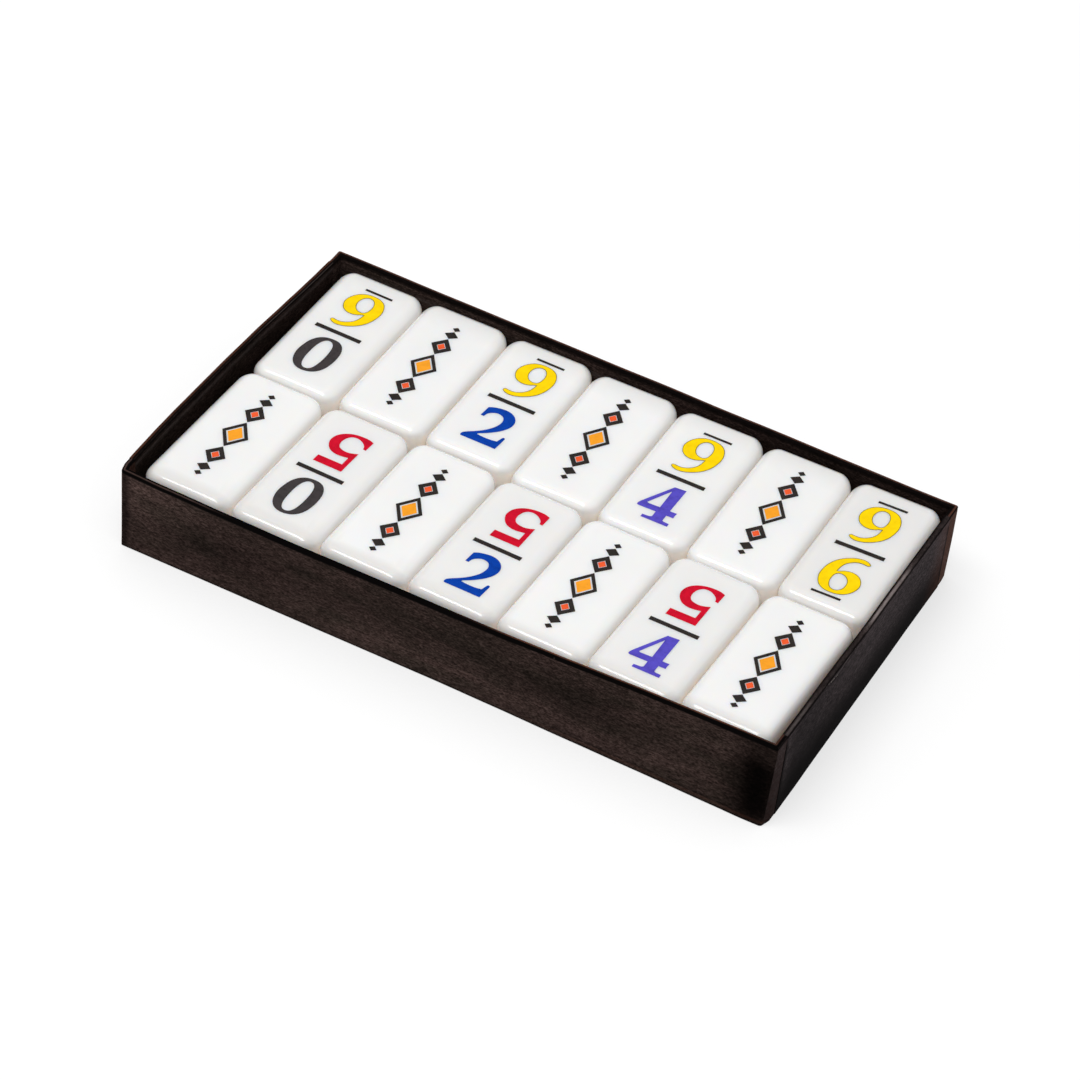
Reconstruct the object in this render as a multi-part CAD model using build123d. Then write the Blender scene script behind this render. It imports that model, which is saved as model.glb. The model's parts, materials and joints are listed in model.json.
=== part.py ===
from build123d import *
import os

# Shallow open tray of wrapped rigid board, holding a double-six set of 28 domino tiles
# in two layers of two rows of seven. Millimetres, +Z up, +X along the long side,
# origin at the middle of the underside.

# ---- tray ----
TRAY_L = 185.0        # outside length, X
TRAY_W = 107.6        # outside width, Y
TRAY_H = 25.1         # outside height
BOARD_T = 1.5         # greyboard
PAPER_T = 0.13        # wrap paper
TAPE_T = 0.10         # gummed stay tape pressed into the board at the corners
LINER_T = 0.15        # loose-laid paper on the floor
CORNER_R = 0.5        # outside radius of the wrapped vertical corners
SEAM = 5.5            # side paper stops this far from each corner
FLAP = 12.0           # end paper carried round each corner, under the side paper
TAPE_LEG = 16.0       # stay tape, each way from the corner
TURN_IN = 22.0        # paper turned over the rim and down the inside

# ---- tiles ----
TILE_L = 50.8         # 2 in
TILE_W = 25.4         # 1 in
TILE_T = 10.9
TILE_CORNER_R = 4.5   # plan corners
TILE_EDGE_R = 3.0     # rolled top and bottom edges
PITCH_X = 25.55
ROW_GAP = 0.2
STACK_GAP = 0.02
ROW_X0 = 0.36         # the packed rows sit slightly right of centre
PACK_YAW = -0.8       # degrees: the loose pack of tiles lies a little askew in the tray

# ---- derived ----
HX, HY = TRAY_L / 2, TRAY_W / 2
EX = HX - PAPER_T                    # outer face of the end paper's flap, X
BX, BY = HX - PAPER_T, HY - PAPER_T  # outer face of the boards
IX, IY = BX - BOARD_T, BY - BOARD_T  # inner face of the boards
CX, CY = IX - PAPER_T, IY - PAPER_T  # inner face of the turned-in paper
RIM_B = TRAY_H - PAPER_T             # top of the boards
FLOOR_B = PAPER_T + BOARD_T          # top of the base board
FLOOR = FLOOR_B + LINER_T            # top of the floor paper
SEAM_Y = HY - SEAM
FLAP_Y = HY - FLAP


def block(x0, x1, y0, y1, z0, z1):
    """Box between two corners."""
    return Pos((x0 + x1) / 2, (y0 + y1) / 2, (z0 + z1) / 2) * Box(x1 - x0, y1 - y0, z1 - z0)


def ring(ax, ay, ar, bx, by, br, z0, z1):
    """Upright rectangular ring between two half sizes, with rounded corners."""
    outer = RectangleRounded(2 * ax, 2 * ay, ar) if ar > 0 else Rectangle(2 * ax, 2 * ay)
    inner = RectangleRounded(2 * bx, 2 * by, br) if br > 0 else Rectangle(2 * bx, 2 * by)
    return Pos(0, 0, z0) * extrude(outer - inner, z1 - z0)


def save(shape, name):
    shape.label = name
    export_step(shape, "parts/%s.step" % name)
    solids = shape.solids()
    print("%-18s solids %d volume %.2f mm3 valid %s" % (name, len(solids), sum(s.volume for s in solids), shape.is_valid))


# ---- wrap paper ----
def end_wrap(sign):
    """Paper of a long wall: outer face with a flap round each corner, rim, and inner face."""
    def part_y(shape, y_limit):
        keep = block(-HX - 1, HX + 1, -HY - 1, -y_limit, -1, TRAY_H + 1)
        if sign > 0:
            keep = block(-HX - 1, HX + 1, y_limit, HY + 1, -1, TRAY_H + 1)
        return shape & keep
    outer = ring(EX, HY, CORNER_R, EX - PAPER_T, HY - PAPER_T, CORNER_R - PAPER_T, 0, RIM_B)
    rim = ring(EX, HY, CORNER_R, CX, CY, 0, RIM_B, TRAY_H)
    inner = ring(IX, IY, 0, CX, CY, 0, TRAY_H - TURN_IN, RIM_B)
    return part_y(outer, FLAP_Y) + part_y(rim, SEAM_Y) + part_y(inner, SEAM_Y)


def side_wrap(sign):
    """Paper of a short wall: outer face, rim and inner face, stopping short of the corners."""
    def at(x0, x1, z0, z1):
        if sign < 0:
            x0, x1 = -x1, -x0
        return block(x0, x1, -SEAM_Y, SEAM_Y, z0, z1)
    return at(EX, HX, 0, TRAY_H) + at(CX, EX, RIM_B, TRAY_H) + at(CX, IX, TRAY_H - TURN_IN, RIM_B)


front_wrap, back_wrap = end_wrap(-1), end_wrap(1)
left_wrap, right_wrap = side_wrap(-1), side_wrap(1)
base_wrap = extrude(RectangleRounded(2 * (EX - PAPER_T), 2 * BY, CORNER_R - PAPER_T), PAPER_T)

# ---- corner stays: L of tape at each outside corner, under the wrap ----
TX, TY = EX - PAPER_T, BY
tape_ring = ring(TX, TY, CORNER_R - PAPER_T, TX - TAPE_T, TY - TAPE_T, CORNER_R - PAPER_T - TAPE_T, PAPER_T, RIM_B)


def stay(sx, sy):
    x0, x1 = sorted((sx * (TX - TAPE_LEG), sx * (TX + 1)))
    y0, y1 = sorted((sy * (TY - TAPE_LEG), sy * (TY + 1)))
    return tape_ring & block(x0, x1, y0, y1, 0, TRAY_H)


stays = {
    "stay_front_left": stay(-1, -1),
    "stay_front_right": stay(1, -1),
    "stay_back_left": stay(-1, 1),
    "stay_back_right": stay(1, 1),
}

# ---- boards ----
base_board = block(-IX, IX, -IY, IY, PAPER_T, FLOOR_B)
front_board = block(-BX, BX, -BY, -IY, PAPER_T, RIM_B) - front_wrap
back_board = block(-BX, BX, IY, BY, PAPER_T, RIM_B) - back_wrap
left_board = block(-BX, -IX, -IY, IY, PAPER_T, RIM_B) - front_wrap - back_wrap
right_board = block(IX, BX, -IY, IY, PAPER_T, RIM_B) - front_wrap - back_wrap
corner_trim = block(-BX - 1, BX + 1, -BY - 1, BY + 1, 0, TRAY_H) - Pos(0, 0, -1) * extrude(
    RectangleRounded(2 * TX, 2 * TY, CORNER_R - PAPER_T), TRAY_H + 2)
corner_trim = corner_trim & (
    block(-BX - 1, -IX, -BY - 1, -IY, 0, TRAY_H) + block(IX, BX + 1, -BY - 1, -IY, 0, TRAY_H)
    + block(-BX - 1, -IX, IY, BY + 1, 0, TRAY_H) + block(IX, BX + 1, IY, BY + 1, 0, TRAY_H))
front_board = front_board - corner_trim
back_board = back_board - corner_trim
for s in stays.values():
    front_board = front_board - s
    back_board = back_board - s
    left_board = left_board - s
    right_board = right_board - s

floor_liner = block(-CX, CX, -CY, CY, FLOOR_B, FLOOR)

# ---- tiles ----
tile_blank = Box(TILE_W, TILE_L, TILE_T)
tile_blank = fillet(tile_blank.edges().filter_by(Axis.Z), TILE_CORNER_R)
tile_blank = fillet(tile_blank.edges().group_by(Axis.Z)[-1], TILE_EDGE_R)
tile_blank = fillet(tile_blank.edges().group_by(Axis.Z)[0], TILE_EDGE_R)

Z_LOW = FLOOR + STACK_GAP + TILE_T / 2
Z_TOP = Z_LOW + TILE_T + STACK_GAP

# each row left to right: the tile on top, the tile under it, the pair's x and y offset from the
# even grid in the pack's own turned axes, and its own small turn in degrees
BACK_ROW = [("tile_0_6", "tile_0_0", 0.25, -0.45, 0.3), ("tile_1_6", "tile_0_1", 0.30, 0.30, 0.7),
            ("tile_2_6", "tile_1_1", 0.43, 0.50, 1.0), ("tile_3_6", "tile_0_2", 0.49, 0.22, 1.2),
            ("tile_4_6", "tile_1_2", 0.50, -0.10, 1.3), ("tile_5_6", "tile_2_2", 0.44, 0.10, 1.4),
            ("tile_6_6", "tile_0_3", 0.37, 0.75, 1.4)]
FRONT_ROW = [("tile_4_4", "tile_1_3", -0.28, -0.40, -0.3), ("tile_0_5", "tile_2_3", -0.12, -0.45, -0.4),
             ("tile_1_5", "tile_3_3", -0.17, 0.25, -0.5), ("tile_2_5", "tile_0_4", -0.20, -0.05, -0.6),
             ("tile_3_5", "tile_1_4", -0.22, -0.30, -0.5), ("tile_4_5", "tile_2_4", -0.24, -0.13, -0.4),
             ("tile_5_5", "tile_3_4", 0.10, 0.55, -0.2)]

tiles = {}
for row, sign in ((BACK_ROW, 1), (FRONT_ROW, -1)):
    for i, (top, low, dx, dy, turn) in enumerate(row):
        x = (i - 3) * PITCH_X + dx
        y = sign * (TILE_L + ROW_GAP) / 2 + dy
        for name, z in ((top, Z_TOP), (low, Z_LOW)):
            tiles[name] = Pos(ROW_X0, 0, z) * Rot(0, 0, PACK_YAW) * Pos(x, y, 0) * Rot(0, 0, turn) * tile_blank

# ---- write ----
os.makedirs("parts", exist_ok=True)
for shape, name in (
    (base_board, "base_board"), (front_board, "front_board"), (back_board, "back_board"),
    (left_board, "left_board"), (right_board, "right_board"),
    (base_wrap, "wrap_base"), (front_wrap, "wrap_front"), (back_wrap, "wrap_back"),
    (left_wrap, "wrap_left"), (right_wrap, "wrap_right"), (floor_liner, "floor_liner"),
):
    save(shape, name)
for name, shape in stays.items():
    save(shape, name)
for name, shape in tiles.items():
    save(shape, name)
inside = [(t.bounding_box().min.X, t.bounding_box().max.X, t.bounding_box().min.Y, t.bounding_box().max.Y) for t in tiles.values()]
print("least side clearance of a tile %.2f mm" % min(CX + min(b[0] for b in inside), CX - max(b[1] for b in inside), CY + min(b[2] for b in inside), CY - max(b[3] for b in inside)))
print("tile tops at z %.2f, rim at %.2f, floor at %.2f, inside %.2f x %.2f" % (Z_TOP + TILE_T / 2, TRAY_H, FLOOR, 2 * CX, 2 * CY))
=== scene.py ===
import bpy
import bmesh
import json
import math
import random
from mathutils import Matrix, Vector, noise

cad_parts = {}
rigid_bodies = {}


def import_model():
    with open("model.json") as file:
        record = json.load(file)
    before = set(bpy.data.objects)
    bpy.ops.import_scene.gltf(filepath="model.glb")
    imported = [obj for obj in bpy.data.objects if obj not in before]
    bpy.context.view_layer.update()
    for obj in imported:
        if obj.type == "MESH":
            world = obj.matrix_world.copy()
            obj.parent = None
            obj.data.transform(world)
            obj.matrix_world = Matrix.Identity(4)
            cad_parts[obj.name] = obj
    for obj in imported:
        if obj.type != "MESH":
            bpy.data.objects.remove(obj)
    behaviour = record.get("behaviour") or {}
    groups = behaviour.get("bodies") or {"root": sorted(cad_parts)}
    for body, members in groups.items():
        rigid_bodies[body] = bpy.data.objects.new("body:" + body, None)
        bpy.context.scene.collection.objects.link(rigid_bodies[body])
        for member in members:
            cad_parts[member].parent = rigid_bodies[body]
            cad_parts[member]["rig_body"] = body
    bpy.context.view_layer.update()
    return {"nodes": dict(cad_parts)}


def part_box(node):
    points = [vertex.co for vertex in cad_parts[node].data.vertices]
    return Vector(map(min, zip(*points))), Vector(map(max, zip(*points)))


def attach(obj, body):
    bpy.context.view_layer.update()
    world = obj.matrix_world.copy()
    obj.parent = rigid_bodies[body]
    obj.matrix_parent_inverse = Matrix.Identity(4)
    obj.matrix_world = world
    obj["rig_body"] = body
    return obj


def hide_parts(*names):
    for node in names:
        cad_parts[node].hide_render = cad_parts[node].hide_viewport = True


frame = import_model()
MM = 0.001

# ------------------------------------------------------------------ sizes, mm
HX, HY, TH = 92.5, 53.8, 25.1          # tray, half length, half width, height
PAPER = 0.13
EX = HX - PAPER
CX, CY = 90.74, 52.04                  # inner faces
TURN_Z = 3.1                           # lower end of the turned-in paper
SEAM_Y = 48.3
FLAP_Y = 41.8
TL, TW, TT = 50.8, 25.4, 10.9          # tile
YAW = math.radians(-0.8)
TURN = {"tile_0_6": 0.3, "tile_1_6": 0.7, "tile_2_6": 1.0, "tile_3_6": 1.2, "tile_4_6": 1.3, "tile_5_6": 1.4, "tile_6_6": 1.4,
        "tile_4_4": -0.3, "tile_0_5": -0.4, "tile_1_5": -0.5, "tile_2_5": -0.6, "tile_3_5": -0.5, "tile_4_5": -0.4, "tile_5_5": -0.2}
UNDER = {"tile_0_0": "tile_0_6", "tile_0_1": "tile_1_6", "tile_1_1": "tile_2_6", "tile_0_2": "tile_3_6", "tile_1_2": "tile_4_6",
         "tile_2_2": "tile_5_6", "tile_0_3": "tile_6_6", "tile_1_3": "tile_4_4", "tile_2_3": "tile_0_5", "tile_3_3": "tile_1_5",
         "tile_0_4": "tile_2_5", "tile_1_4": "tile_3_5", "tile_2_4": "tile_4_5", "tile_3_4": "tile_5_5"}
TILE_TOP = TT / 2


# ------------------------------------------------------------------ how the card walls have settled out of true
def table(x, pts):
    """Smooth value at x from a short list of (x, value)."""
    if x <= pts[0][0]:
        return pts[0][1]
    for (xa, a), (xb, b) in zip(pts, pts[1:]):
        if x <= xb:
            t = (x - xa) / (xb - xa)
            t = t * t * (3 - 2 * t) * 0.5 + t * 0.5
            return a + (b - a) * t
    return pts[-1][1]


FRONT_TOP = [(-92.5, 0.4), (-80, 0.95), (-65, 1.3), (-45, 1.6), (0, 1.55), (16, 1.45), (32, 1.15), (45, 0.65),
             (58, 0.25), (70, 0.0), (82, -0.2), (92.5, -0.1)]
FRONT_LOW = [(-92.5, 0.05), (-60, 0.1), (0, 0.1), (16, 0.35), (37, 0.8), (57, 1.12), (78, 1.6), (86, 1.8), (92.5, 1.7)]
BACK_TOP = [(-92.5, 0.4), (-60, 0.03), (-33, -0.16), (0, -0.5), (33, -0.85), (60, -1.1), (87, -1.35), (92.5, -1.3)]
RIGHT_TOP = [(-53.8, 0.45), (0, 0.35), (53.8, -0.15)]
RIGHT_LOW = [(-53.8, 0.55), (-41, 0.45), (-23, 0.18), (-4.6, -0.06), (13.8, -0.28), (32, -0.54), (53.8, -0.7)]
LEFT_TOP = [(-53.8, 0.5), (-52.4, 1.0), (-50.6, 1.4), (-43, 1.65), (-35, 1.83), (-27, 1.83), (-19.5, 1.7), (-4, 1.45), (11.7, 1.07),
            (27, 0.45), (35, 0.1), (43, -0.2), (50.6, -0.45), (53.8, -0.4)]
LEFT_LOW = [(-53.8, 0.2), (0, 0.1), (53.8, -0.1)]


def ease(t):
    t = min(1.0, max(0.0, t))
    return t * t * (3 - 2 * t)


def settle(p):
    """Moves a point of the tray, in mm, from the square box to the box as it stands."""
    x, y, z = p
    s = min(1.0, max(0.0, z / TH))
    # the front right corner is blunted at its foot, and the back right one a little
    for cy, k, reach in ((-53.8, 1.0, 1.0), (53.8, 0.35, 0.6)):
        sg = 1.0 if cy < 0 else -1.0
        nx, ny = 0.926, -0.376 * sg
        t = (x - 91.2) * nx + (y - cy) * ny
        if t > 0:
            pull = t * 0.88 * k * (1 - min(1.0, s / reach)) ** 1.3
            x -= nx * pull
            y -= ny * pull
    s = s ** 1.15
    wf, wb = ease((-y - 36) / 16), ease((y - 36) / 16)
    wr, wl = ease((x - 72) / 18), ease((-x - 72) / 18)
    dy = -wf * (table(x, FRONT_TOP) * s + table(x, FRONT_LOW) * (1 - s)) + wb * table(x, BACK_TOP) * s
    dx = wr * (table(y, RIGHT_TOP) * s + table(y, RIGHT_LOW) * (1 - s)) - wl * (table(y, LEFT_TOP) * s + table(y, LEFT_LOW) * (1 - s))
    # faint waviness of the card
    k = 0.10 * s
    dy += (wf + wb) * k * noise.noise(Vector((x * 0.045, y * 0.01, z * 0.02 + 3.1)))
    dx += (wr + wl) * k * noise.noise(Vector((x * 0.01 + 9.0, y * 0.05, z * 0.02)))
    dz = 0.0
    if z > 15:
        dz = 0.07 * ease((z - 15) / 8) * noise.noise(Vector((x * 0.06, y * 0.06, 5.0)))
    return Vector((x + dx, y + dy, z + dz))


# ------------------------------------------------------------------ node helpers
def lin(r, g, b):
    def f(c):
        c /= 255.0
        return c / 12.92 if c <= 0.04045 else ((c + 0.055) / 1.055) ** 2.4
    return (f(r), f(g), f(b), 1.0)


class Tree:
    def __init__(self, name, rough=0.5, spec=0.5, **extra):
        self.mat = bpy.data.materials.new(name)
        self.mat.use_nodes = True
        self.t = self.mat.node_tree
        for n in list(self.t.nodes):
            self.t.nodes.remove(n)
        self.out = self.n("ShaderNodeOutputMaterial")
        self.b = self.n("ShaderNodeBsdfPrincipled")
        self.link(self.b, "BSDF", self.out, "Surface")
        self.b.inputs["Roughness"].default_value = rough
        self.b.inputs["Specular IOR Level"].default_value = spec
        for k, v in extra.items():
            self.b.inputs[k.replace("_", " ")].default_value = v

    def n(self, kind, **props):
        node = self.t.nodes.new(kind)
        for k, v in props.items():
            setattr(node, k, v)
        return node

    def link(self, a, ao, b, bi):
        self.t.links.new(a.outputs[ao], b.inputs[bi])

    def coords(self, out="Object", scale=(1, 1, 1), rot=(0, 0, 0), loc=(0, 0, 0)):
        c = self.n("ShaderNodeTexCoord")
        m = self.n("ShaderNodeMapping")
        m.inputs["Scale"].default_value = scale
        m.inputs["Rotation"].default_value = rot
        m.inputs["Location"].default_value = loc
        self.link(c, out, m, "Vector")
        return m

    def noise(self, vec, scale, detail=3.0, rough=0.55, dist=0.0):
        n = self.n("ShaderNodeTexNoise")
        n.inputs["Scale"].default_value = scale
        n.inputs["Detail"].default_value = detail
        n.inputs["Roughness"].default_value = rough
        n.inputs["Distortion"].default_value = dist
        self.link(vec, 0, n, "Vector")
        return n

    def ramp(self, src, so, stops):
        r = self.n("ShaderNodeValToRGB")
        self.link(src, so, r, "Fac")
        e = r.color_ramp.elements
        while len(e) > 1:
            e.remove(e[-1])
        for i, (p, c) in enumerate(stops):
            if i == 0:
                e[0].position, e[0].color = p, c
            else:
                el = e.new(p)
                el.color = c
        return r

    def mix(self, a, ao, b, bo, fac, fo=None, kind="MIX"):
        m = self.n("ShaderNodeMix", data_type="RGBA", blend_type=kind)
        self.t.links.new(a.outputs[ao], m.inputs[6])
        self.t.links.new(b.outputs[bo], m.inputs[7])
        if fo is None:
            m.inputs[0].default_value = fac
        else:
            self.t.links.new(fac.outputs[fo], m.inputs[0])
        return m

    def math(self, op, a, ao, b=None, bo=None, value=0.5):
        m = self.n("ShaderNodeMath", operation=op)
        self.link(a, ao, m, 0)
        if b is not None:
            self.link(b, bo, m, 1)
        else:
            m.inputs[1].default_value = value
        return m

    def bump(self, height, ho, strength, distance, prev=None):
        n = self.n("ShaderNodeBump")
        n.inputs["Strength"].default_value = strength
        n.inputs["Distance"].default_value = distance
        self.link(height, ho, n, "Height")
        if prev is not None:
            self.link(prev, "Normal", n, "Normal")
        return n

    def normal(self, bump):
        self.link(bump, "Normal", self.b, "Normal")


G = lambda v: (v, v, v, 1.0)


# ------------------------------------------------------------------ materials
def make_resin():
    t = Tree("tile_resin", rough=0.16, spec=0.5)
    t.b.inputs["Subsurface Weight"].default_value = 0.75
    t.b.inputs["Subsurface Radius"].default_value = (1.0, 0.80, 0.62)
    t.b.inputs["Subsurface Scale"].default_value = 0.0030
    t.b.inputs["Coat Weight"].default_value = 0.9
    t.b.inputs["Coat Roughness"].default_value = 0.03
    v = t.coords()
    big = t.noise(v, 38.0, 2.0, 0.5)
    tone = t.ramp(big, "Fac", [(0.3, (0.862, 0.860, 0.852, 1)), (0.7, (0.892, 0.890, 0.883, 1))])
    fine = t.noise(v, 900.0, 3.0, 0.6)
    speck = t.ramp(fine, "Fac", [(0.70, G(0.0)), (0.78, G(0.22))])
    warm = t.n("ShaderNodeRGB")
    warm.outputs[0].default_value = (0.80, 0.775, 0.735, 1)
    col = t.mix(tone, "Color", warm, 0, speck, "Color")
    # painted shade: the faces grey towards the end by the tray's wall and on the rolled edges, and some tiles grey all
    # over
    edge = t.n("ShaderNodeAttribute", attribute_name="edge")
    grey = t.n("ShaderNodeRGB")
    grey.outputs[0].default_value = (0.755, 0.742, 0.725, 1)
    col = t.mix(col, 2, grey, 0, edge, "Fac")
    # the sides turn cream: partly the resin's own warmer tone, partly a painted glow that lightens the gaps between
    # tiles
    side = t.n("ShaderNodeAttribute", attribute_name="side")
    cream_and_painted_glow = t.n("ShaderNodeRGB")
    cream_and_painted_glow.outputs[0].default_value = (0.93, 0.875, 0.815, 1)
    col = t.mix(col, 2, cream_and_painted_glow, 0, side, "Fac")
    t.link(col, 2, t.b, "Base Color")
    # painted glow: the tile sides give off a faint warm light, standing in for light through the resin between the
    # tiles
    painted_glow = t.ramp(side, "Fac", [(0.0, (0.0, 0.0, 0.0, 1)), (1.0, (1.0, 0.87, 0.77, 1))])
    t.link(painted_glow, "Color", t.b, "Emission Color")
    t.b.inputs["Emission Strength"].default_value = 0.085
    rr = t.ramp(t.noise(v, 160.0, 4.0, 0.6), "Fac", [(0.3, G(0.12)), (0.75, G(0.21))])
    t.link(rr, "Color", t.b, "Roughness")
    wave = t.noise(v, 55.0, 1.0, 0.4)
    b1 = t.bump(wave, "Fac", 0.35, 0.0004)
    tiny = t.noise(v, 2600.0, 2.0, 0.5)
    t.normal(t.bump(tiny, "Fac", 0.05, 0.00002, b1))
    return t.mat


def make_ink(name, rgb, dark=0.72, rough=0.5):
    t = Tree(name, rough=rough, spec=0.05)
    v = t.coords()
    a = (rgb[0] * dark, rgb[1] * dark, rgb[2] * dark, 1)
    cloud = t.noise(v, 420.0, 5.0, 0.65)
    tone = t.ramp(cloud, "Fac", [(0.28, a), (0.52, rgb), (0.8, (min(1, rgb[0] * 1.12 + 0.002), min(1, rgb[1] * 1.12 + 0.002), min(1, rgb[2] * 1.12 + 0.002), 1))])
    pin = t.noise(v, 3200.0, 2.0, 0.5)
    pins = t.ramp(pin, "Fac", [(0.74, G(0.0)), (0.80, G(0.35))])
    pale = t.n("ShaderNodeRGB")
    pale.outputs[0].default_value = (rgb[0] * 0.6 + 0.2, rgb[1] * 0.6 + 0.2, rgb[2] * 0.6 + 0.2, 1)
    t.link(t.mix(tone, "Color", pale, 0, pins, "Color"), 2, t.b, "Base Color")
    t.normal(t.bump(pin, "Fac", 0.25, 0.00003))
    return t.mat


def make_wrap(name, rough=0.62, bump=0.5, spec=0.004, dull=1.0):
    """Near-black laid paper: grain runs along the wall (UV u, in mm). Vertex attributes: tone_and_painted_light scales
    the colour with the paper's tone and painted light and shade; painted_sheen turns it to a painted blue-grey sheen,
    wear_and_painted_glow to worn brown (on the right wall's inside a painted glow), pale to a light colour that is
    mostly painted highlight with some scuffing, and dark blackens it, at joints and rims and as painted shade."""
    t = Tree(name, rough=rough, spec=spec)
    grain = t.noise(t.coords("UV", scale=(0.46, 1.30, 1.0)), 1.0, 6.0, 0.72, 0.35)
    grain2 = t.noise(t.coords("UV", scale=(1.2, 3.4, 1.0), loc=(17, 5, 0)), 1.0, 3.0, 0.62)
    s = t.math("ADD", grain, "Fac", grain2, "Fac")
    s = t.math("MULTIPLY", s, 0, value=0.5)
    brown = t.ramp(s, 0, [(0.40, (0.0130 * dull, 0.0074 * dull, 0.0064 * dull, 1)), (0.50, (0.041 * dull, 0.0256 * dull, 0.0224 * dull, 1)),
                          (0.61, (0.090 * dull, 0.058 * dull, 0.052 * dull, 1))])
    olive = t.ramp(s, 0, [(0.40, (0.0088 * dull, 0.0062 * dull, 0.0048 * dull, 1)), (0.50, (0.0255 * dull, 0.0175 * dull, 0.0145 * dull, 1)),
                          (0.61, (0.056 * dull, 0.040 * dull, 0.034 * dull, 1))])
    cloud = t.noise(t.coords("UV", scale=(0.030, 0.085, 1.0), loc=(3.4, 8.2, 0)), 1.0, 4.0, 0.6, 0.6)
    cm = t.ramp(cloud, "Fac", [(0.40, G(0.0)), (0.60, G(1.0))])
    col = t.mix(brown, "Color", olive, "Color", cm, "Color")
    # painted sheen: a blue-grey colour standing in for the paper's reflection at a grazing view
    painted_sheen_colour = t.ramp(s, 0, [(0.40, (0.0100 * dull, 0.0080 * dull, 0.0088 * dull, 1)), (0.50, (0.0270 * dull, 0.0222 * dull, 0.0240 * dull, 1)),
                         (0.61, (0.058 * dull, 0.049 * dull, 0.053 * dull, 1))])
    c = t.n("ShaderNodeAttribute", attribute_name="painted_sheen")
    col = t.mix(col, 2, painted_sheen_colour, "Color", c, "Fac")
    # painted light and shade, with the paper's tone: a factor on the colour, above 1 where light is painted and below 1
    # where shade is painted
    sh = t.n("ShaderNodeAttribute", attribute_name="tone_and_painted_light")
    mottle = t.noise(t.coords("UV", scale=(0.16, 0.30, 1.0), loc=(31, 4, 0)), 1.0, 3.0, 0.55)
    mr = t.ramp(mottle, "Fac", [(0.3, G(0.80)), (0.7, G(1.16))])
    shm = t.math("MULTIPLY", sh, "Fac", mr, "Color")
    comb = t.n("ShaderNodeCombineColor")
    for k in range(3):
        t.t.links.new(shm.outputs[0], comb.inputs[k])
    col = t.mix(col, 2, comb, 0, 1.0, kind="MULTIPLY")
    # worn brown edges; on the right wall's inside the same brown is a painted glow of the tiles' light
    wn = t.noise(t.coords("UV", scale=(0.35, 1.0, 1.0), loc=(40, 2, 0)), 1.0, 5.0, 0.7)
    wr = t.ramp(wn, "Fac", [(0.32, G(0.35)), (0.58, G(1.0))])
    w = t.n("ShaderNodeAttribute", attribute_name="wear_and_painted_glow")
    wm = t.math("MULTIPLY", w, "Fac", wr, "Color")
    wear_and_painted_glow = t.n("ShaderNodeRGB")
    wear_and_painted_glow.outputs[0].default_value = (0.125, 0.046, 0.028, 1)
    col = t.mix(col, 2, wear_and_painted_glow, 0, wm, 0)
    # a light colour: mostly painted highlights on the rims and beside a crease, with some scuffing
    p = t.n("ShaderNodeAttribute", attribute_name="pale")
    pm = t.math("MULTIPLY", p, "Fac", wr, "Color")
    pale = t.n("ShaderNodeRGB")
    pale.outputs[0].default_value = (0.46, 0.39, 0.38, 1)
    col = t.mix(col, 2, pale, 0, pm, 0)
    # blackens the paper: at joints and on the rims, and as painted shade along the foot, in creases and under the rim
    d = t.n("ShaderNodeAttribute", attribute_name="dark")
    black = t.n("ShaderNodeRGB")
    black.outputs[0].default_value = (0.0022, 0.0018, 0.0018, 1)
    col = t.mix(col, 2, black, 0, d, "Fac")
    # dust and lint
    dots = t.n("ShaderNodeTexVoronoi", feature="F1")
    dots.inputs["Scale"].default_value = 0.11
    t.link(t.coords("UV", scale=(1, 1, 1)), 0, dots, "Vector")
    dm = t.ramp(dots, "Distance", [(0.0, G(0.5)), (0.022, G(0.0))])
    lint = t.n("ShaderNodeRGB")
    lint.outputs[0].default_value = (0.20, 0.17, 0.15, 1)
    col = t.mix(col, 2, lint, 0, dm, "Color")
    t.link(col, 2, t.b, "Base Color")
    rr = t.ramp(s, 0, [(0.3, G(rough - 0.08)), (0.7, G(rough + 0.10))])
    t.link(rr, "Color", t.b, "Roughness")
    t.normal(t.bump(s, 0, bump, 0.00007))
    return t.mat


def make_liner():
    t = Tree("liner_paper", rough=0.8, spec=0.08)
    n = t.noise(t.coords("UV", scale=(0.5, 2.2, 1.0)), 1.0, 4.0, 0.6)
    t.link(t.ramp(n, "Fac", [(0.35, (0.010, 0.008, 0.008, 1)), (0.65, (0.024, 0.020, 0.019, 1))]), "Color", t.b, "Base Color")
    t.normal(t.bump(n, "Fac", 0.3, 0.00005))
    return t.mat


def make_board():
    t = Tree("greyboard", rough=0.85, spec=0.2)
    v = t.coords(scale=(1, 1, 1))
    pulp = t.noise(v, 700.0, 5.0, 0.7)
    tone = t.ramp(pulp, "Fac", [(0.3, lin(118, 112, 104)), (0.7, lin(156, 149, 139))])
    fl = t.noise(t.coords(scale=(1, 1, 6)), 1500.0, 2.0, 0.6)
    fm = t.ramp(fl, "Fac", [(0.66, G(0.0)), (0.74, G(0.6))])
    dk = t.n("ShaderNodeRGB")
    dk.outputs[0].default_value = lin(84, 80, 76)
    t.link(t.mix(tone, "Color", dk, 0, fm, "Color"), 2, t.b, "Base Color")
    t.normal(t.bump(pulp, "Fac", 0.5, 0.0001))
    return t.mat


def make_tape():
    t = Tree("stay_tape", rough=0.7, spec=0.25)
    v = t.coords(scale=(1, 1, 0.12))
    f = t.noise(v, 1400.0, 4.0, 0.65)
    tone = t.ramp(f, "Fac", [(0.3, lin(150, 112, 72)), (0.7, lin(186, 146, 100))])
    t.link(tone, "Color", t.b, "Base Color")
    t.normal(t.bump(f, "Fac", 0.4, 0.00004))
    return t.mat


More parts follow.
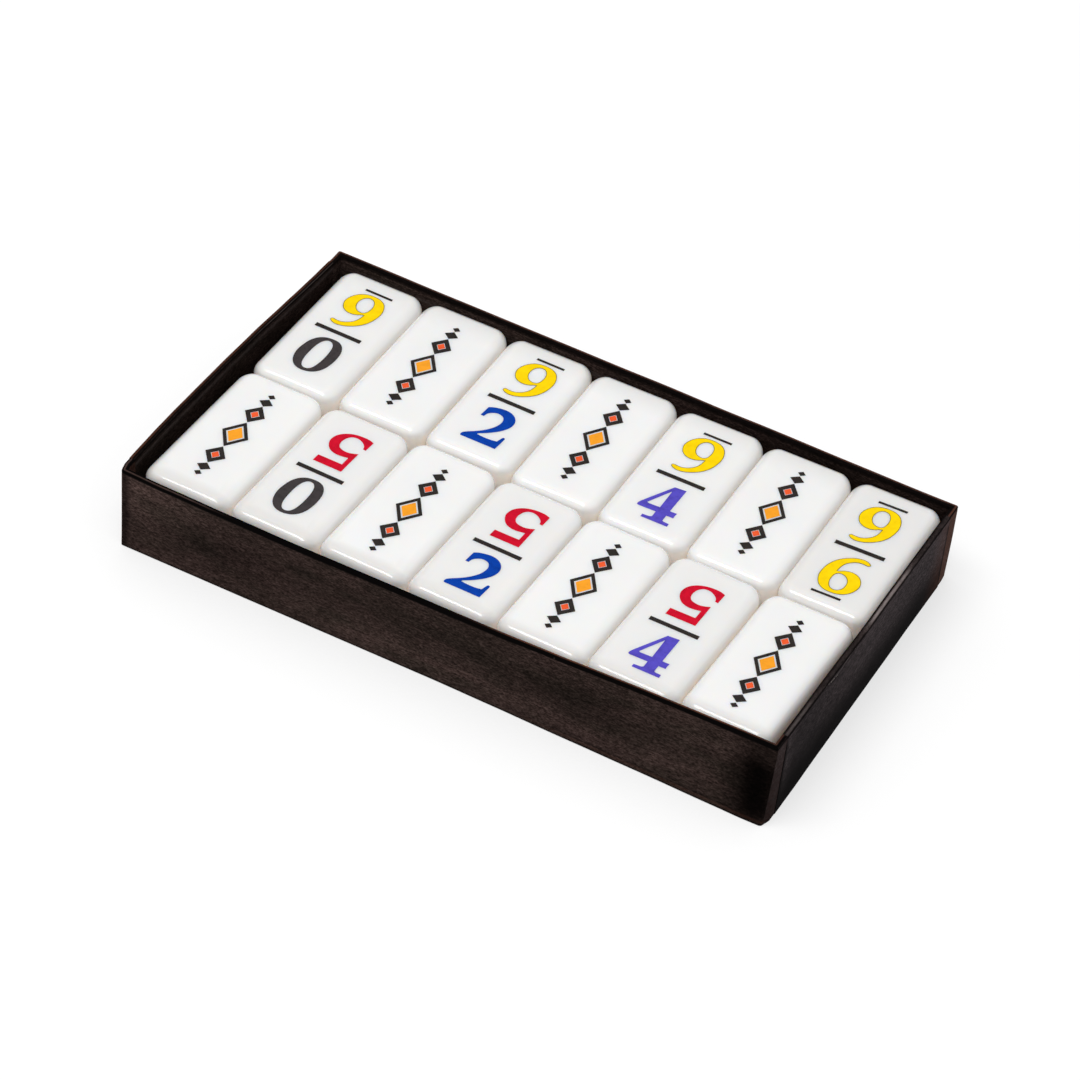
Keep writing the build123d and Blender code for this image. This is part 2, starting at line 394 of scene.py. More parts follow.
RESIN = make_resin()
INK = {
    "k": make_ink("ink_black", lin(46, 41, 39), dark=0.6),
    "0": make_ink("ink_grey_black", lin(62, 57, 58), dark=0.7),
    "1": make_ink("ink_green", lin(10, 122, 70)),
    "2": make_ink("ink_blue", lin(0, 62, 165)),
    "3": make_ink("ink_orange", lin(236, 112, 18)),
    "4": make_ink("ink_violet", lin(86, 76, 190)),
    "5": make_ink("ink_red", lin(205, 10, 42)),
    "6": make_ink("ink_yellow", lin(252, 212, 0), dark=0.9),
    "o": make_ink("ink_olive", lin(120, 104, 18), dark=0.6),
    "a": make_ink("ink_orange_back", lin(246, 160, 40), dark=0.9),
    "r": make_ink("ink_red_back", lin(238, 92, 48), dark=0.9),
}
INK_SLOT = {"k": "ink_black", "0": "ink_black", "1": "ink_green", "2": "ink_blue", "3": "ink_orange", "4": "ink_violet",
            "5": "ink_red", "6": "ink_yellow", "o": "ink_yellow", "a": "ink_orange", "r": "ink_red"}
WRAP = make_wrap("wrap_paper")
LINER = make_liner()
BOARD = make_board()
TAPE = make_tape()


# ------------------------------------------------------------------ mesh helpers
def mesh_object(name, verts, faces, mats, smooth=True, face_mats=None):
    me = bpy.data.meshes.new(name)
    me.from_pydata([tuple(c * MM for c in v) for v in verts], [], faces)
    me.validate(clean_customdata=False)
    for m in mats:
        me.materials.append(m)
    if face_mats:
        me.polygons.foreach_set("material_index", face_mats)
    me.polygons.foreach_set("use_smooth", [smooth] * len(me.polygons))
    me.update()
    o = bpy.data.objects.new(name, me)
    bpy.context.scene.collection.objects.link(o)
    return o


def soft_normals(o, angle=35):
    """Smooth shading that keeps edges sharper than the angle crisp."""
    bm = bmesh.new()
    bm.from_mesh(o.data)
    bmesh.ops.recalc_face_normals(bm, faces=bm.faces)
    for e in bm.edges:
        if len(e.link_faces) == 2 and e.calc_face_angle(0) > math.radians(angle):
            e.smooth = False
    bm.to_mesh(o.data)
    bm.free()


# ------------------------------------------------------------------ tray: own copies of the flat pieces, settled
def settled_copy(node, name, mat, slot):
    src = frame["nodes"][node]
    bm = bmesh.new()
    bm.from_mesh(src.data)
    bmesh.ops.scale(bm, vec=(1000, 1000, 1000), verts=bm.verts)
    bmesh.ops.remove_doubles(bm, verts=bm.verts, dist=0.0005)
    bmesh.ops.dissolve_limit(bm, angle_limit=math.radians(1), verts=bm.verts, edges=bm.edges)

    def cut(axis, at):
        no = [0, 0, 0]
        no[axis] = 1
        co = [0, 0, 0]
        co[axis] = at
        bmesh.ops.bisect_plane(bm, geom=bm.verts[:] + bm.edges[:] + bm.faces[:], plane_co=co, plane_no=no, dist=1e-5)
    for x in range(-90, 91, 9):
        cut(0, x + 0.013)
    for y in range(-50, 51, 8):
        cut(1, y + 0.017)
    for z in (5, 10, 15, 20):
        cut(2, z + 0.011)
    for v in bm.verts:
        if slot in ("greyboard", "stay_tape"):
            v.co.z -= 0.12 * ease((v.co.z - 24.4) / 0.5)
        v.co = settle(v.co)
    bmesh.ops.scale(bm, vec=(MM, MM, MM), verts=bm.verts)
    bmesh.ops.recalc_face_normals(bm, faces=bm.faces)
    me = bpy.data.meshes.new(name)
    bm.to_mesh(me)
    bm.free()
    uv = me.uv_layers.new(name="grain")
    for p in me.polygons:
        n = p.normal
        for li in p.loop_indices:
            c = me.vertices[me.loops[li].vertex_index].co * 1000
            if abs(n.z) > 0.7:
                uv.data[li].uv = (c.x, c.y)
            elif abs(n.x) > 0.7:
                uv.data[li].uv = (c.y, c.z)
            else:
                uv.data[li].uv = (c.x, c.z)
    me.materials.clear()
    me.materials.append(mat)
    o = bpy.data.objects.new(name, me)
    bpy.context.scene.collection.objects.link(o)
    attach(o, "tray")
    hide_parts(node)
    return o


for n in ("base_board", "front_board", "back_board", "left_board", "right_board"):
    settled_copy(n, n + "_card", BOARD, "greyboard")
for n in ("stay_front_left", "stay_front_right", "stay_back_left", "stay_back_right"):
    settled_copy(n, n + "_tape", TAPE, "stay_tape")
settled_copy("floor_liner", "floor_liner_sheet", LINER, "liner_paper")
base_sheet = settled_copy("wrap_base", "wrap_base_sheet", WRAP, "wrap_paper")
for nm, value in (("tone_and_painted_light", 0.8), ("wear_and_painted_glow", 0.0), ("pale", 0.0), ("dark", 0.0), ("painted_sheen", 0.0)):
    att = base_sheet.data.attributes.new(nm, "FLOAT", "POINT")
    att.data.foreach_set("value", [value] * len(base_sheet.data.vertices))

# ------------------------------------------------------------------ tray: the wrap paper
R_OUT, R_IN = 0.42, 0.36       # the folds over the board's edges
WALL = HX - CX


def profile(skin):
    """The wall's section: (distance from the outer face, height), from the bottom outside over the rim to the inside.
    skin 0 is the paper's outer side and 1 its side on the board."""
    e = PAPER * skin
    pts = []
    ro, ri = R_OUT - e, R_IN - e
    bot = 0.0
    for z in (bot, 0.15, 0.35, 0.55, 0.8, 1.1, 1.4, 1.7, 2.2, 3, 4, 5, 6, 7, 8, 9.5, 11, 12.5, 14, 15.5, 17, 18.5, 20, 21, 22, 22.6, 23.0, 23.3, 23.5,
              23.7, 23.9, 24.1, 24.3, 24.5):
        pts.append([e, z])
    n = 6
    for k in range(n + 1):
        a = math.pi / 2 * k / n
        pts.append([e + ro * (1 - math.cos(a)), TH - R_OUT + ro * math.sin(a)])
    for w in (0.56, 0.70, 0.84, 0.98, 1.12, 1.24):
        pts.append([w, TH - e])
    for k in range(n + 1):
        a = math.pi / 2 * k / n
        pts.append([WALL - R_IN + ri * math.sin(a), TH - R_IN + ri * math.cos(a)])
    for z in (24.5, 24.1, 23.6, 23.1, 22.4, 21.5, 20.5, 19.0, 17, 14, 11, 8, 5, TURN_Z):
        pts.append([WALL - e, z])
    return pts


PROF = [profile(0), profile(1)]
ARC = [0.0]
for a, b in zip(PROF[0], PROF[0][1:]):
    ARC.append(ARC[-1] + math.hypot(a[0] - b[0], a[1] - b[1]))
NP = len(PROF[0])


def bell(v, c, w):
    return math.exp(-((v - c) / w) ** 2)


def band(v, lo, hi, soft):
    return ease((v - lo) / soft + 0.5) * ease((hi - v) / soft + 0.5)


def paint(wall, x, y, w, z):
    """Tone of the paper at a point, with painted light and shade: (tone_and_painted_light, wear_and_painted_glow, pale,
    dark, painted_sheen). w runs over the wall from 0 outside to WALL inside.
    """
    rim = z > TH - 0.44
    outside = not rim and w < 0.3
    tone_and_painted_light, wear_and_painted_glow, pale, dark, painted_sheen = 1.0, 0.0, 0.0, 0.0, 0.0
    leg = wall in ("front", "back") and abs(x) > EX - 0.25 and abs(y) < HY - 0.5
    if outside:
        if wall == "front" and not leg:
            # lighter and darker patches over the front face
            tone_and_painted_light = 0.80 + 0.55 * bell(x, -84, 16) * bell(z, 21, 9) - 0.34 * bell(x, -62, 20) * bell(z, 12, 8) + 0.34 * bell(x, -12, 42) * bell(z, 5, 5) - 0.10 * bell(x, -10, 30) * bell(z, 14, 4)
            tone_and_painted_light += -0.26 * bell(x, 40, 20) * bell(z, 14, 6) + 0.16 * bell(x, 62, 14) * bell(z, 8, 7) + 0.12 * bell(x, 70, 12) * bell(z, 20, 4)
            # painted shade darkening the front face towards its right end
            end = ease((x - 77) / 11)
            tone_and_painted_light *= 1 - end * (0.55 + 0.42 * band(z, 1.9, 19.5, 5.0))
            # painted highlight along the right corner's edge
            tone_and_painted_light += 0.08 * ease((x - 90.0) / 1.6)
            # painted shade along the foot and under the rim's fold, and a dark line just above the foot
            dark = 0.95 * bell(z, 0.0, 0.42) + 0.55 * ease((x - 10) / 40) * bell(z, 1.75, 0.22) + 0.95 * ease((z - 24.15 - 0.32 * ease((x - 18) / 10) * (1 - ease((x - 72) / 8))) / 0.4)
            wear_and_painted_glow = 0.14 * ease((x - 10) / 40) * bell(z, 1.1, 0.45) + 0.45 * ease((-x - 91.9) / 0.4)
            dark = max(dark, 0.68 * ease((-x - 90.0) / 0.7) * (1 - 0.6 * ease((-x - 91.8) / 0.4)))
        elif wall == "right" or (leg and x > 0):
            # painted sheen and painted light: blue-grey, lighter towards the top, darker towards the foot and the front
            # end
            painted_sheen = 0.9
            up = min(1.0, z / TH)
            tone_and_painted_light = 0.16 + 1.02 * ease((up - 0.10) / 0.62) ** 1.15 + 0.22 * ease((up - 0.80) / 0.2)
            tone_and_painted_light *= 0.52 + 0.50 * ease((y + 48) / 52)
            painted_sheen = 0.85
            if wall == "right":
                # painted light: lighter towards the back end and just past the seam
                tone_and_painted_light *= 1 + 0.35 * ease((y - 30) / 20)
                wear_and_painted_glow = 0.25 * ease((y - 36) / 14)
                tone_and_painted_light *= 1 + 0.75 * bell(y, -46.6, 2.6)
                dark = 1.0 * bell(abs(y), SEAM_Y, 0.50) * ease((z - 1.5) / 2) * ease((23.4 - z) / 1.2)
                # a short crease that leaves the rim and comes back to it: painted shade along it and a faint painted
                # highlight on the paper just above
                for (ya, za), (yb, zb) in (((-7, 24.9), (-18.8, 22.8)), ((-18.8, 22.8), (-23.5, 23.5)), ((-23.5, 23.5), (-27.5, 24.7))):
                    if yb <= y <= ya:
                        zc = za + (zb - za) * (y - ya) / (yb - ya)
                        dark = max(dark, (0.85 if y < -17 else 0.5) * bell(z, zc, 0.26))
                        pale = max(pale, 0.16 * bell(z, zc + 0.55, 0.3))
            else:
                # painted light: the front corner strip lighter towards the top, the back one lighter and browner
                tone_and_painted_light = 0.32 + 0.55 * up
                wear_and_painted_glow = 0.08
                if y > 0:
                    tone_and_painted_light, wear_and_painted_glow, painted_sheen = 1.15, 0.36, 0.2
            # painted shade along the foot and under the rim's scored line
            dark = max(dark, 0.92 * bell(z, 0.0, 0.35), 0.85 * bell(z, 24.62, 0.22))
        else:
            tone_and_painted_light = 0.85
            # painted shade along the foot
            dark = 0.9 * bell(z, 0.0, 0.3)
    elif rim:
        inner = ease((w - 1.38) / 0.2)
        if wall == "front" and not leg:
            inner = ease((w - 0.96) / 0.16)
            # painted highlight: a faint light band over the front rim's left part
            left = 1 - ease((x + 74) / 16)
            mid = band(w, 0.55, 1.05, 0.25) * left
            dark = (1 - 0.80 * inner * ease((x + 5) / 30)) * (1 - 0.75 * mid)
            pale = 0.07 * mid
            wear_and_painted_glow = max(inner * ease((x + 5) / 30) * (1 - 0.6 * ease((x - 84) / 5)), 0.25 * mid)
            tone_and_painted_light = 0.75
        elif wall == "back" and not leg:
            wear_and_painted_glow = 0.95 * ease((0.90 - w) / 0.3)
            # painted shade over the back rim's inner half
            dark = max(0.25, 0.95 * ease((w - 0.72) / 0.2))
        elif wall == "left" or (leg and x < 0):
            wear_and_painted_glow = 0.95 * ease((0.95 - w) / 0.3)
            # painted highlight: a thin light line along the left rim's inner edge
            pale = 0.13 * band(w, 1.30, 1.56, 0.14) * ease((y - 2) / 20)
            dark = max(0.40, 0.93 * ease((w - 0.82) / 0.2)) * (1 - 0.5 * band(w, 1.30, 1.56, 0.14))
            tone_and_painted_light = 0.6
        else:
            # right rim: painted sheen, a painted highlight (glint) and a lighter middle stretch, painted shade at both
            # edges
            painted_sheen = 0.5
            glint = 0.05 + 0.95 * band(y, 0, 22, 6) + 0.25 * band(y, -49, -34, 8)
            pale = 0.40 * glint * band(w, 0.35, 1.05, 0.24)
            tone_and_painted_light = 0.55 + 0.45 * band(y, -4, 26, 8)
            dark = max(0.9 * ease((w - 1.22) / 0.2), 0.8 * ease((0.26 - w) / 0.14))
    else:
        # painted shade: the inner faces darker than the outside
        tone_and_painted_light = 0.62
        if wall == "front":
            tone_and_painted_light, wear_and_painted_glow = 0.6, 0.2
        if wall == "back":
            # painted light and shade: the back wall's inside lighter towards the left, a painted shadow under the rim,
            # a faint light streak
            tone_and_painted_light = 1.0 - 0.52 * ease((x + 40) / 80)
            dark = 0.8 * ease((z - 23.7) / 0.5)
            pale = 0.10 * bell(z, 21.2 - 0.012 * (x + 60), 0.35) * band(x, -84, 0, 10)
        if wall == "left":
            # painted shade: the left wall's inside darker still, with painted highlights along its top and at its front
            # corner
            tone_and_painted_light = 0.42
            pale = 0.07 * bell(z, 23.4, 0.4) + 0.30 * bell(y, -CY + 0.7, 0.5) * band(z, 19.5, 24.4, 1.5)
        if wall == "right":
            # painted glow: the right wall's inside brown from the tiles' light, with painted shade under the rim
            tone_and_painted_light, wear_and_painted_glow = 0.9, 0.75
            dark = 0.5 * ease((z - 23.9) / 0.5)
    return (max(0.05, tone_and_painted_light), min(1, wear_and_painted_glow), min(1, pale), min(1, max(0, dark)), painted_sheen)


def wall_strip(name, stations, wall, crease=None):
    """Paper over one wall. stations: list of (outer point, inner point, along) in plan, mm, outer point on the paper's outer face.
    The section is laid between the two points, both skins, and closed all round."""
    verts, faces, uvs, tone = [], [], [], []
    ns = len(stations)

    def idx(s, k, i):
        return (s * 2 + k) * NP + i
    for s, (o, inn, along) in enumerate(stations):
        for k in (0, 1):
            for i in range(NP):
                w, z = PROF[k][i]
                f = w / WALL
                x = o[0] + (inn[0] - o[0]) * f
                y = o[1] + (inn[1] - o[1]) * f
                tone.append(paint(wall, x, y, PROF[0][i][0], PROF[0][i][1]))
                if k == 0 and crease is not None and i < NP // 2:
                    nx, ny = inn[0] - o[0], inn[1] - o[1]
                    ln = math.hypot(nx, ny)
                    dd = crease(x, y, z)
                    x += nx / ln * dd
                    y += ny / ln * dd
                verts.append(settle((x, y, z)))
                uvs.append((along, ARC[i]))
    for s in range(ns - 1):
        for i in range(NP - 1):
            faces.append((idx(s, 0, i), idx(s, 0, i + 1), idx(s + 1, 0, i + 1), idx(s + 1, 0, i)))
            faces.append((idx(s, 1, i), idx(s + 1, 1, i), idx(s + 1, 1, i + 1), idx(s, 1, i + 1)))
        faces.append((idx(s, 0, 0), idx(s + 1, 0, 0), idx(s + 1, 1, 0), idx(s, 1, 0)))
        faces.append((idx(s, 0, NP - 1), idx(s, 1, NP - 1), idx(s + 1, 1, NP - 1), idx(s + 1, 0, NP - 1)))
    for s in (0, ns - 1):
        for i in range(NP - 1):
            f = (idx(s, 0, i), idx(s, 1, i), idx(s, 1, i + 1), idx(s, 0, i + 1))
            faces.append(f if s == 0 else f[::-1])
    return verts, faces, uvs, tone


def finish_strip(name, parts, nodes, mat=None):
    """Joins the strips of one wall into one piece, with its grain UV and its tone attributes: wear and painted light,
    shade, sheen and glow.
    """
    V, F, U, T = [], [], [], []
    for verts, faces, uvs, tone in parts:
        n = len(V)
        V += verts
        F += [tuple(i + n for i in f) for f in faces]
        U += uvs
        T += tone
    o = mesh_object(name, V, F, [mat or WRAP])
    me = o.data
    uv = me.uv_layers.new(name="grain")
    for li, loop in enumerate(me.loops):
        uv.data[li].uv = U[loop.vertex_index]
    for k, nm in enumerate(("tone_and_painted_light", "wear_and_painted_glow", "pale", "dark", "painted_sheen")):
        a = me.attributes.new(nm, "FLOAT", "POINT")
        a.data.foreach_set("value", [t[k] for t in T])
    soft_normals(o, 50)
    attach(o, "tray")
    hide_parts(*nodes)
    return o


def frange(a, b, n):
    return [a + (b - a) * i / n for i in range(n + 1)]


def end_stations(sign):
    """Plan stations of a long wall's paper, from seam to seam round both corners."""
    st, along = [], 0.0
    last = None
    rc = 0.55

    def add(o, inn):
        nonlocal along, last
        if last is not None:
            along += math.hypot(o[0] - last[0], o[1] - last[1])
        last = o
        st.append((o, inn, along))
    for y in frange(SEAM_Y, HY - rc, 6)[:-1]:
        add((-EX, sign * y), (-CX, sign * min(y, CY)))
    for k in range(7):
        a = math.pi / 2 * k / 6
        add((-EX + rc * (1 - math.cos(a)), sign * (HY - rc + rc * math.sin(a))), (-CX, sign * CY))
    for x in frange(-90.9, 90.9, 110):
        add((x, sign * HY), (max(-CX, min(CX, x)), sign * CY))
    for k in range(7):
        a = math.pi / 2 * k / 6
        add((EX - rc * (1 - math.sin(a)), sign * (HY - rc * (1 - math.cos(a)))), (CX, sign * CY))
    for y in frange(HY - rc, SEAM_Y, 6)[1:]:
        add((EX, sign * y), (CX, sign * min(y, CY)))
    return st


def flap(sign, sx):
    """The tab of a long wall's paper that lies under the short wall's paper."""
    verts, faces, uvs, tone = [], [], [], []
    ys = frange(FLAP_Y, SEAM_Y - 0.02, 3)
    zs = [0, 6, 12, 18, 24.97]
    for y in ys:
        for z in zs:
            for x in (EX - 0.005, EX - PAPER + 0.005):
                verts.append(settle((sx * x, sign * y, z)))
                uvs.append((y, z))
                tone.append((0.6, 0.0, 0.0, 0.0, 0.0))
    nz = len(zs)

    def idx(a, b, c):
        return (a * nz + b) * 2 + c
    for a in range(len(ys) - 1):
        for b in range(nz - 1):
            faces.append((idx(a, b, 0), idx(a + 1, b, 0), idx(a + 1, b + 1, 0), idx(a, b + 1, 0)))
            faces.append((idx(a, b, 1), idx(a, b + 1, 1), idx(a + 1, b + 1, 1), idx(a + 1, b, 1)))
    for a in range(len(ys) - 1):
        faces.append((idx(a, 0, 0), idx(a, 0, 1), idx(a + 1, 0, 1), idx(a + 1, 0, 0)))
        faces.append((idx(a, nz - 1, 0), idx(a + 1, nz - 1, 0), idx(a + 1, nz - 1, 1), idx(a, nz - 1, 1)))
    for b in range(nz - 1):
        faces.append((idx(0, b, 0), idx(0, b + 1, 0), idx(0, b + 1, 1), idx(0, b, 1)))
        m = len(ys) - 1
        faces.append((idx(m, b, 0), idx(m, b, 1), idx(m, b + 1, 1), idx(m, b + 1, 0)))
    return verts, faces, uvs, tone


def side_stations(sign):
    st = []
    for y in frange(-SEAM_Y, SEAM_Y, 62):
        st.append(((sign * HX, y), (sign * CX, y), y + 60))
    return st


def crease_side(x, y, z):
    """How far the side wall's paper lies below its face: a scored line under the rim, a dent and faint ripples."""
    d = 0.05 * bell(z, 24.45, 0.16) + 0.015 * noise.noise(Vector((y * 0.2, z * 0.5, 1.0)))
    if x > 0:
        for (ya, za), (yb, zb) in (((-7, 24.9), (-18.8, 22.8)), ((-18.8, 22.8), (-23.5, 23.5)), ((-23.5, 23.5), (-27.5, 24.7))):
            if yb <= y <= ya:
                zc = za + (zb - za) * (y - ya) / (yb - ya)
                d += 0.16 * bell(z, zc, 0.3)
    return d


def crease_end(x, y, z):
    return 0.03 * bell(z, 24.3, 0.2) + 0.012 * noise.noise(Vector((x * 0.15, z * 0.4, 7.0)))


for sign, wall in ((-1, "front"), (1, "back")):
    finish_strip("wrap_" + wall + "_paper", [wall_strip(wall, end_stations(sign), wall, crease_end), flap(sign, -1), flap(sign, 1)], ["wrap_" + wall])
for sign, wall in ((-1, "left"), (1, "right")):
    finish_strip("wrap_" + wall + "_paper", [wall_strip(wall, side_stations(sign), wall, crease_side)], ["wrap_" + wall])

# ------------------------------------------------------------------ tiles
CORNER = 4.5
CROWN = 0.07


def crown_at(x, y):
    """How far the printed face falls from its middle."""
    return -CROWN * (min(1.0, abs(x) / 8.6) ** 2 * 0.75 + min(1.0, abs(y) / 21.5) ** 2 * 0.25)


def outline():
    """Plan outline of a tile: (point, normal), anticlockwise from +X."""
    pts = []
    hx, hy, r = TW / 2, TL / 2, CORNER
    n = 11

    def corner(cx, cy, a0):
        for k in range(n):
            a = a0 + math.pi / 2 * k / (n - 1)
            pts.append(((cx + r * math.cos(a), cy + r * math.sin(a)), (math.cos(a), math.sin(a))))
    for y in frange(-(hy - r), hy - r, 8)[1:-1]:
        pts.append(((hx, y), (1, 0)))
    corner(hx - r, hy - r, 0)
    for x in frange(hx - r, -(hx - r), 5)[1:-1]:
        pts.append(((x, hy), (0, 1)))
    corner(-(hx - r), hy - r, math.pi / 2)
    for y in frange(hy - r, -(hy - r), 8)[1:-1]:
        pts.append(((-hx, y), (-1, 0)))
    corner(-(hx - r), -(hy - r), math.pi)
    for x in frange(-(hx - r), hx - r, 5)[1:-1]:
        pts.append(((x, -hy), (0, -1)))
    corner(hx - r, -(hy - r), 3 * math.pi / 2)
    return pts


OUT = outline()
NO = len(OUT)


def tile_mesh(name, rng):
    """Moulded blank: rounded plan corners, ends rolled tighter than the long sides, faintly crowned faces."""
    a_end = 2.85 + rng.uniform(-0.12, 0.12)
    a_side = 4.1 + rng.uniform(-0.15, 0.15)
    b_end = 2.8
    b_side = 3.5 + rng.uniform(-0.15, 0.15)
    lean = rng.uniform(-0.05, 0.05)
    verts, faces = [], []
    rings = []

    def ring(fn):
        start = len(verts)
        for (p, n) in OUT:
            verts.append(fn(p, n))
        rings.append(start)

    def edge(p, n, ang, top):
        k = n[1] * n[1]
        a = a_end * k + a_side * (1 - k)
        b = b_end * k + b_side * (1 - k)
        ins = a * (1 - math.cos(ang))
        x, y = p[0] - n[0] * ins, p[1] - n[1] * ins
        z = TILE_TOP - b + b * math.sin(ang)
        if ang > 1.2:
            z += crown_at(x, y) * (ang - 1.2) / (math.pi / 2 - 1.2)
        return (x, y, z if top else -z)

    def cap(p, n, t, top):
        k = n[1] * n[1]
        a = a_end * k + a_side * (1 - k)
        x, y = p[0] - n[0] * a, p[1] - n[1] * a
        sy = max(-(TL / 2 - TW / 2), min(TL / 2 - TW / 2, y))
        x, y = x * (1 - t), y + (sy - y) * t
        z = TILE_TOP + crown_at(x, y)
        return (x, y, z if top else -z)
    caps = (0.12, 0.28, 0.48, 0.70, 0.9)
    m = 9
    for t in reversed(caps):
        ring(lambda p, n: cap(p, n, t, False))
    for k in range(m, -1, -1):
        ring(lambda p, n: edge(p, n, math.pi / 2 * k / m, False))
    for f in (0.5,):
        ring(lambda p, n: (p[0] + n[0] * 0.0, p[1], 0.0))
    for k in range(m + 1):
        ring(lambda p, n: edge(p, n, math.pi / 2 * k / m, True))
    for t in caps:
        ring(lambda p, n: cap(p, n, t, True))
    for a, b in zip(rings, rings[1:]):
        for i in range(NO):
            j = (i + 1) % NO
            faces.append((a + i, a + j, b + j, b + i))
    faces.append(tuple(rings[0] + i for i in reversed(range(NO))))
    faces.append(tuple(rings[-1] + i for i in range(NO)))
    return verts, faces


